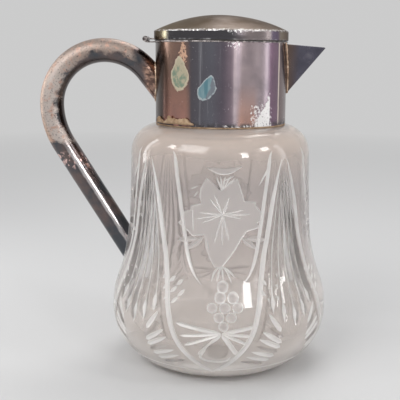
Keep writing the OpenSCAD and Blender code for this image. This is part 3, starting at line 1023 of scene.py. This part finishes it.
# %% Give the handle its wall and fit its ends
apply_modifier(handle, "SOLIDIFY", thickness=tube_t * MM, offset=-1)
trim_at_collar(handle)
swell_line = [(0, 1)] + glass_outline(-foot_gap, 1.0, neck_r) + [(0, shoulder_h)]
cut_away(handle, turn_outline("swollen_glass", swell_line, steps=128))
bpy.ops.object.shade_smooth_by_angle(angle=math.radians(35))
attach(handle, "jug")
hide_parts("handle_tube")
print("handle:", len(handle.data.polygons), "faces")

# %% [markdown]
# Solder shows as a thin uneven bead wherever two sheets meet: round the handle's end on the collar and
# down both sides of the spout. Each bead is a curve with a round section, laid along the line where
# the two surfaces cross, and made a mesh. The line is worked out from the same sizes as the pieces.


# %% Lay the solder
def lay_bead(name, line, radius, closed=False):
    """A round bead of solder along a line of points in mm, thicker and thinner by turns."""
    curve = bpy.data.curves.new(name, "CURVE")
    curve.dimensions = "3D"
    curve.bevel_depth = radius * MM
    curve.bevel_resolution = 3
    curve.use_fill_caps = True
    thread = curve.splines.new("POLY")
    thread.points.add(len(line) - 1)
    for i, (point, place) in enumerate(zip(thread.points, line)):
        point.co = (*(place * MM), 1)
        point.radius = 1 + 0.45 * noise.noise(place * 0.33) + 0.3 * noise.noise(place * 1.1)
    thread.use_cyclic_u = closed
    piece = bpy.data.objects.new(name, curve)
    bpy.context.scene.collection.objects.link(piece)
    pick(piece)
    bpy.ops.object.convert(target="MESH")
    bpy.ops.object.shade_smooth()
    return bpy.context.object


join_start = Vector((bend_c[0] + bend_r * math.cos(math.radians(90 - join_angle)), 0,
                     bend_c[1] + bend_r * math.sin(math.radians(90 - join_angle))))
across_up = Vector((join_way.z, 0, -join_way.x))
ring_line = []
for i in range(96):
    turn = 2 * math.pi * i / 96
    base = join_start + tube_r * (math.cos(turn) * across_up + Vector((0, math.sin(turn), 0)))
    a = join_way.x ** 2
    b = 2 * base.x * join_way.x
    c = base.x ** 2 + base.y ** 2 - (collar_r + 0.1) ** 2
    ring_line.append(base + join_way * (-b - math.sqrt(b * b - 4 * a * c)) / (2 * a))
handle_solder = lay_bead("handle_solder", ring_line, 0.6, closed=True)

side_normal = (ridge_foot - tip).cross(mouth - tip).normalized()
beads = []
for side in (-1, 1):
    line = []
    for i in range(41):
        y = mouth_half_w * i / 40
        x = math.sqrt((collar_r + 0.45) ** 2 - y * y)
        z = tip.z - (side_normal.x * (x - tip.x) + side_normal.y * (y - tip.y)) / side_normal.z
        line.append(Vector((x + 0.35, side * (y + 0.7), z)))
    beads.append(lay_bead("spout_solder", line, 0.72))
pick(beads[0])
beads[1].select_set(True)
bpy.ops.object.join()
spout_solder = bpy.context.object
for bead in (handle_solder, spout_solder):
    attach(bead, "jug")
print("solder:", len(handle_solder.data.polygons) + len(spout_solder.data.polygons), "faces")

# %% [markdown]
# The lid was stamped from one sheet: a shallow dome, a narrow rounded edge and a straight skirt. It is
# turned as a shell with the sheet's real thickness, so that it looks right when the lid is open. Then
# noise sinks the dome here and there by a fraction of a millimetre, as use does.

# %% Turn the lid
lid_r, lid_t = 44.9, 0.9
skirt_z, dome_z, lid_top = 218.5, 224.6, 235.3
dome_r = (lid_r ** 2 + (lid_top - dome_z) ** 2) / (2 * (lid_top - dome_z))
ball_z = lid_top - dome_r
edge_turn = math.degrees(math.acos((lid_r - 0.6) / dome_r))
inner_turn = math.degrees(math.acos((lid_r - lid_t) / (dome_r - lid_t)))
lid_line = arc((0, ball_z), dome_r, 90, edge_turn, 30)
lid_line += [(lid_r - 0.22, dome_z - 0.05), (lid_r - 0.03, dome_z - 0.4), (lid_r, dome_z - 0.9)]
lid_line += [(lid_r, dome_z - 3), (lid_r, skirt_z + 0.5), (lid_r - 0.12, skirt_z + 0.1)]
lid_line += [(lid_r - 0.35, skirt_z), (lid_r - lid_t + 0.15, skirt_z), (lid_r - lid_t, skirt_z + 0.2)]
lid_line += arc((0, ball_z), dome_r - lid_t, inner_turn, 90, 20)
lid = turn_outline("lid_dome", lid_line, smooth=40)
for point in lid.data.vertices:
    if point.co.z > dome_z * MM:
        sink = 0.5 * noise.noise(point.co * 38) - 0.35
        point.co.z += min(0, sink) * 0.35 * MM
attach(lid, "lid")
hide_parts("lid_shell")
print("lid:", len(lid.data.polygons), "faces")

# %% [markdown]
# The plating has worn and tarnished unevenly. Each metal finish starts from a tarnish colour that
# changes slowly, adds the places where the silver is still bright or has flaked, and lets the rough
# spots be duller. On the collar and the lid's skirt, upright bands of painted highlight and painted
# reflection are laid into that colour. Places on the collar are given as azimuth and height, as on the
# glass. The collar has a bare white corner at the lower right, a peach spot and a green patch with a
# tan border on its left, a teal patch in the middle that is worn away at its right, and dirt at its foot.


# %% Parts of a metal finish
def flake_mask(region, scale=620):
    """Ragged bright flakes inside a region value from 0 to 1."""
    broad = region.recipe.noise(scale, detail=5, roughness=0.65)
    fine = region.recipe.noise(scale * 3.3, detail=3, roughness=0.6)
    both = broad * 0.7 + fine * 0.3
    return (both + region * 0.5).step(0.88, 0.93)


def patch(azimuth, height, place, size, ragged, scale=420):
    """Distance from a patch's middle, 1 at its ragged edge; place and size are (azimuth, height)."""
    u = (azimuth - place[0]) / size[0]
    v = (height - place[1]) / size[1]
    u = u * (v.most(0.0) * 0.9 + 1.0)
    rough = (azimuth.recipe.noise(scale) - 0.5) * (ragged * 2)
    return (u * u + v * v).root() + rough


def turn_bands(azimuth, stops):
    """Upright bands of colour round the jug, from (azimuth, colour) stops; their edges wander."""
    upright = azimuth.recipe.mapped((1, 1, 0.16))
    drift = (azimuth.recipe.noise(60, detail=3, where=upright) - 0.5) * 4.0
    share = (azimuth + drift + 180.0) / 360.0
    return azimuth.recipe.ramp(share, [((place + 180) / 360, colour) for place, colour in stops])


# %% Colour the collar
silver = (0.86, 0.84, 0.83)
recipe = Recipe("collar_tarnish")
azimuth, height = recipe.marks()
# The bands are tarnish with painted light in them. The thin bright bands at -55 and at 11.5 to 14 degrees
# are painted highlights. The warm bands from -55 to -29 and from 18 to 43 degrees are partly tarnish and
# partly painted reflections of windows.
tone = turn_bands(azimuth, [
    (-180, (0.16, 0.13, 0.13)), (-120, (0.10, 0.09, 0.10)), (-90, (0.075, 0.043, 0.027)),
    (-58, (0.054, 0.029, 0.018)), (-55, (0.24, 0.155, 0.12)), (-46, (0.28, 0.175, 0.135)),
    (-29, (0.26, 0.17, 0.14)), (-25, (0.125, 0.115, 0.13)), (-8, (0.165, 0.163, 0.19)),
    (2, (0.16, 0.135, 0.165)), (9.5, (0.30, 0.23, 0.27)), (11.5, (0.70, 0.58, 0.61)),
    (14, (0.52, 0.43, 0.47)), (18, (0.36, 0.29, 0.30)), (32, (0.50, 0.41, 0.43)),
    (43, (0.30, 0.25, 0.28)), (47, (0.28, 0.18, 0.25)), (57, (0.27, 0.185, 0.24)),
    (60, (0.26, 0.2, 0.2)), (90, (0.24, 0.185, 0.19)), (140, (0.17, 0.14, 0.15)),
    (180, (0.16, 0.13, 0.13))])
# Painted reflections: the lower parts of the two warm bands, at 17 to 28 and at -54 to -31 degrees, are
# made lighter and warmer still.
painted_low_reflection = height.step(192, 168) * azimuth.window(17, 28, 5)
tone = recipe.mix(painted_low_reflection * 0.85, tone, (0.62, 0.36, 0.28))
painted_left_reflection = height.step(200, 170) * azimuth.window(-54, -31, 6)
tone = recipe.mix(painted_left_reflection * 0.85, tone, (0.52, 0.27, 0.22))
cloud = recipe.noise(75, detail=6, roughness=0.6)
tone = recipe.mix(cloud.step(0.45, 0.75) * 0.35, tone, (0.1, 0.09, 0.11))
streaks = recipe.noise(420, detail=2, where=recipe.mapped((1, 1, 0.03)))
streak = streaks.step(0.6, 0.7) * azimuth.window(-17, -2, 2)
tone = recipe.mix(streak * 0.45, tone, (0.42, 0.42, 0.45))
print("collar bands:", len(recipe.tree.nodes), "nodes")

# %% Add the collar's bare corner, flakes and specks
edge = height - (azimuth - 31.0) * 1.1 + (recipe.noise(420) - 0.5) * 16.0
white = edge.step(168.6, 167.0) * azimuth.step(27.0, 31.0) * azimuth.step(46.0, 45.2)
white = white * recipe.noise(900, roughness=0.7).step(0.34, 0.42)
region = azimuth.window(6, 15, 3) * height.step(208.5, 214.5)
region = region.most(azimuth.window(2, 46, 3) * height.step(168.5, 165.2))
region = region.most(height.step(166.0, 165.0) * 0.7)
region = region.most(azimuth.window(26, 48, 4) * height.step(192, 176)).step(0, 1)
flakes = flake_mask(region * 0.72)
specks = recipe.noise(1700, detail=2).step(0.735, 0.76)
bright = white.most(flakes).most(specks * 0.8)
tone = recipe.mix(bright, tone, silver)
print("with flakes:", len(recipe.tree.nodes), "nodes")

# %% Add the collar's peach spot, green patch and seam
peach = patch(azimuth, height, (-33.0, 210.5), (3.9, 7.2), 1.0, 800).step(1.0, 0.85)
peach = peach * recipe.noise(1000, detail=3).step(0.4, 0.46)
tone = recipe.mix(peach, tone, (0.56, 0.34, 0.23))
green = patch(azimuth, height, (-36.8, 197.4), (9.4, 10.6), 0.18)
green_top = (azimuth * 0.6 + height).step(173.0, 180.0)
green_share = recipe.noise(330, detail=5) + green_top * 0.16
green_tone = recipe.mix(green_share.step(0.46, 0.62), (0.19, 0.25, 0.18), (0.42, 0.37, 0.26))
chips = recipe.noise(1100, detail=2).step(0.66, 0.7)
green_tone = recipe.mix(chips, green_tone, (0.16, 0.12, 0.1))
tone = recipe.mix(green.step(1.06, 1.0), tone, (0.5, 0.43, 0.31))
tone = recipe.mix(green.step(0.88, 0.84), tone, green_tone)
seam = (azimuth + recipe.noise(150, detail=3) * 1.2).window(58.0, 59.7, 0.3)
tone = recipe.mix(seam, tone, (0.88, 0.75, 0.68))
print("with the green patch:", len(recipe.tree.nodes), "nodes")

# %% Add the collar's teal patch
teal_lean = azimuth - (height - 188.8) * 0.42
teal = patch(teal_lean, height, (-11.2, 188.8), (7.6, 7.6), 0.16)
strips = recipe.noise(420, detail=3, where=recipe.mapped((1, 1, 0.12))).step(0.42, 0.6)
teal_tone = recipe.mix(strips, (0.085, 0.19, 0.225), (0.19, 0.29, 0.315))
gone = (teal_lean + recipe.noise(300) * 6.0).step(-6.8, -5.6)
frayed = teal.step(1.05, 1.0) * teal.step(0.86, 0.9)
frayed = frayed * gone.blend(1.0, recipe.noise(800, detail=3).step(0.42, 0.5))
tone = recipe.mix(frayed, tone, (0.36, 0.41, 0.42))
teal_in = teal.step(0.91, 0.87)
tone = recipe.mix(teal_in * gone.blend(1.0, 0.22), tone, teal_tone)
print("with the teal patch:", len(recipe.tree.nodes), "nodes")

# %% Add dirt, dullness and relief, and coat the collar
dirt = height.step(168.5, 165.2) * recipe.noise(300).step(0.35, 0.6)
tone = recipe.mix(dirt * (1.0 - bright), tone, (0.055, 0.05, 0.055))
spots = green.step(1.06, 1.0).most(teal.step(1.05, 1.0))
dull = spots.most(peach).most(dirt * 0.7)
grain = recipe.noise(95, detail=5)
recipe.set(Base_Color=tone, Metallic=dull.blend(1.0, 0.15),
           Roughness=dull.blend(bright.blend(grain.blend(0.16, 0.3), 0.42), 0.6))
relief = bright * -0.5 + spots * 0.8
recipe.bump(relief + recipe.noise(900, detail=3) * 0.12, 0.00012, 0.7)
recipe.coat(collar)
print("collar finish:", len(recipe.tree.nodes), "nodes")

# %% Finish the lid
recipe = Recipe("lid_wear")
azimuth, height = recipe.marks()
# The skirt's bands are tarnish, except the thin light band at -54 degrees, which is a painted highlight.
skirt_tone = turn_bands(azimuth, [
    (-180, (0.17, 0.14, 0.14)), (-90, (0.15, 0.125, 0.10)), (-60, (0.19, 0.16, 0.12)),
    (-54, (0.44, 0.40, 0.28)), (-48, (0.083, 0.079, 0.083)), (8, (0.088, 0.085, 0.093)),
    (16, (0.16, 0.14, 0.15)), (24, (0.27, 0.225, 0.225)), (44, (0.27, 0.23, 0.23)),
    (47, (0.19, 0.155, 0.215)), (54, (0.20, 0.16, 0.22)), (57, (0.36, 0.31, 0.26)),
    (90, (0.24, 0.2, 0.2)), (180, (0.17, 0.14, 0.14))])
rub = recipe.noise(55, detail=7, roughness=0.65)
dome_tone = recipe.ramp(rub, [
    (0.3, (0.13, 0.105, 0.085)), (0.5, (0.19, 0.16, 0.14)), (0.72, (0.3, 0.26, 0.235))])
hair = recipe.noise(900, detail=2, where=recipe.mapped((0.08, 1, 1)))
dome_tone = recipe.mix(hair.step(0.6, 0.75) * 0.3, dome_tone, (0.62, 0.58, 0.55))
x, _, _ = recipe.axes()
dome_tone = recipe.mix(x.step(-0.004, -0.04) * 0.75, dome_tone, (0.36, 0.3, 0.22))
on_dome = height.step(224.0, 224.6)
tone = recipe.mix(on_dome, skirt_tone, dome_tone)
arris = height.window(224.0, 225.1, 0.9)
worn = flake_mask(arris * 0.75, 560)
spill = azimuth.window(6, 26, 6) * height.step(219.0, 223.5)
spill = spill.most(azimuth.window(-50, 46, 4) * height.step(222.0, 224.2))
spill = spill * height.step(225.3, 224.9)
worn = worn.most(flake_mask(spill * 0.72, 700))
lip = height.step(219.6, 218.8) * recipe.noise(160, detail=3).step(0.5, 0.62)
tone = recipe.mix(worn.most(lip * 0.6), tone, silver)
recipe.set(Base_Color=tone, Metallic=1.0, Specular_Tint=(0.42, 0.39, 0.37, 1),
           Roughness=on_dome.blend(0.24, rub.blend(0.3, 0.46)))
recipe.bump(recipe.noise(700) + worn * -0.8, 0.0001, 0.6)
recipe.coat(lid)
print("lid finish:", len(recipe.tree.nodes), "nodes")

# %% Finish the spout
recipe = Recipe("spout_tarnish")
x, _, _ = recipe.axes()
seam_side = (x * 1000.0).step(52.0, 45.0)
cloud = recipe.noise(90, detail=5)
tone = recipe.ramp(cloud, [
    (0.3, (0.07, 0.068, 0.088)), (0.6, (0.11, 0.105, 0.135)), (0.75, (0.18, 0.17, 0.2))])
tone = recipe.mix(seam_side * 0.8, tone, (0.135, 0.09, 0.065))
specks = recipe.noise(1500, detail=2).step(0.73, 0.76)
tone = recipe.mix(specks, tone, (0.55, 0.45, 0.38))
recipe.set(Base_Color=tone, Metallic=1.0, Roughness=cloud.blend(0.18, 0.34))
recipe.bump(recipe.noise(800, detail=3), 0.00008, 0.5)
recipe.coat(spout)
print("spout finish:", len(recipe.tree.nodes), "nodes")

# %% [markdown]
# The handle is worn where a hand holds it: on the outer side of the bend, down to where the hand no
# longer reaches. The rest is still darkly plated, with brown clouds, specks and licks of copper near the
# collar, and one long painted highlight lies on the straight run.

# %% Finish the handle
recipe = Recipe("handle_wear")
x, _, z = [axis * 1000.0 for axis in recipe.axes()]
dx = x - bend_c[0]
dz = z - bend_c[1]
from_bend = (dx * dx + dz * dz).root()
blotch = recipe.noise(110, detail=6, roughness=0.62) - 0.5
reach = from_bend + x.step(-84.0, -100.0) * 3.4
outer = (reach + blotch * 16.0).step(34.5, 37.0)
above = (z + blotch * 12.0).step(148.5, 151.0)
short = (x + blotch * 14.0).step(-55.0, -60.0)
speck = recipe.noise(900, roughness=0.7)
worn = outer * above * short * speck.step(0.36, 0.46).blend(0.25, 1.0)
worn_tone = recipe.mix(from_bend.step(40.5, 43.8), (0.54, 0.47, 0.43), (0.56, 0.4, 0.31))
worn_tone = recipe.mix(z.step(192.0, 208.0), worn_tone, (0.36, 0.285, 0.245))
worn_tone = recipe.mix(recipe.noise(260).step(0.52, 0.68), worn_tone, (0.52, 0.33, 0.26))
brown = recipe.noise(70).step(0.42, 0.62)
dark = recipe.mix(brown, (0.085, 0.09, 0.1), (0.16, 0.125, 0.12))
inner = from_bend.step(33.0, 28.0)
dark = recipe.mix(inner * z.step(150.0, 165.0), dark, (0.1, 0.085, 0.08))
specks = recipe.noise(1400, detail=3).step(0.7, 0.74)
dark = recipe.mix(specks * 0.7, dark, (0.52, 0.4, 0.36))
near = (x + blotch * 9.0).step(-52.0, -48.5)
licks = recipe.noise(300, detail=5, roughness=0.65, where=recipe.mapped((0.5, 1, 1)))
copper = recipe.mix(licks.step(0.45, 0.62), (0.15, 0.095, 0.08), (0.66, 0.42, 0.32))
dark = recipe.mix(near, dark, copper)
pink = z.window(134, 141, 3) * recipe.noise(380, detail=5).step(0.53, 0.6)
dark = recipe.mix(pink, dark, (0.75, 0.52, 0.48))
# Painted highlight: a light streak along the straight run, beside its axis, standing for a reflection
# along the tube.
across = (x - run_start[0]) * -run_way.z + (z - run_start[1]) * run_way.x + blotch * 3.0
painted_highlight = across.window(1.6, 3.4, 0.9) * z.step(152.0, 140.0)
dark = recipe.mix(painted_highlight * 0.72, dark, (0.72, 0.68, 0.68))
tone = recipe.mix(worn, dark, worn_tone)
recipe.set(Base_Color=tone, Metallic=worn.blend(1.0, 0.75),
           Roughness=worn.blend(brown.blend(0.15, 0.26), 0.46))
relief = worn * -0.7 + speck * 0.3
recipe.bump(relief, 0.00012, 0.6)
recipe.coat(handle)
print("handle finish:", len(recipe.tree.nodes), "nodes")

# %% Finish the rim
recipe = Recipe("rim_wear")
_, height = recipe.marks()
patches = recipe.noise(260, detail=5, roughness=0.65).step(0.42, 0.62)
# Painted shade: the rim's upper half, in the gap under the lid, is painted near black and keeps no worn
# patches.
painted_gap_shade = height.step(wall_top + 0.5 * rim_h, wall_top + 0.75 * rim_h)
patches = patches * (1.0 - painted_gap_shade)
tone = recipe.mix(painted_gap_shade, (0.16, 0.14, 0.145), (0.03, 0.028, 0.03))
recipe.set(Base_Color=recipe.mix(patches, tone, (0.82, 0.75, 0.72)), Metallic=1.0,
           Roughness=patches.blend(0.22, 0.36))
recipe.coat(rim)
print("rim finish:", len(recipe.tree.nodes), "nodes")

# %% Finish the solder
recipe = Recipe("solder")
blotch = recipe.noise(420, detail=5, roughness=0.6)
tone = recipe.ramp(blotch, [
    (0.35, (0.26, 0.16, 0.11)), (0.5, (0.62, 0.44, 0.31)), (0.68, (0.85, 0.74, 0.6))])
recipe.set(Base_Color=tone, Metallic=0.7, Roughness=0.4)
recipe.bump(blotch, 0.0003, 0.6)
recipe.coat(handle_solder)
recipe.coat(spout_solder)
print("solder finish:", len(recipe.tree.nodes), "nodes")

# %% Finish the small pieces
recipe = Recipe("inside_plate")
cloud = recipe.noise(120, detail=5)
recipe.set(Base_Color=recipe.mix(cloud, (0.3, 0.26, 0.24), (0.55, 0.5, 0.46)), Metallic=1.0,
           Roughness=cloud.blend(0.28, 0.42))
inside_plate = recipe.material

recipe = Recipe("hinge_wear")
rubbed = recipe.noise(520).step(0.45, 0.6)
recipe.set(Base_Color=recipe.mix(rubbed, (0.12, 0.1, 0.1), (0.58, 0.53, 0.51)), Metallic=1.0,
           Roughness=0.3)
hinge_wear = recipe.material
small_pieces = {
    "neck_ledge": inside_plate, "lid_flange": inside_plate, "lid_hinge_leaf": hinge_wear,
    "collar_hinge_leaf": hinge_wear, "hinge_pin": hinge_wear, "handle_foot": handle.data.materials[0]}
for name, material in small_pieces.items():
    nodes[name].data.materials[0] = material
print("finished nodes:", [name for name, thing in nodes.items() if not thing.hide_render])
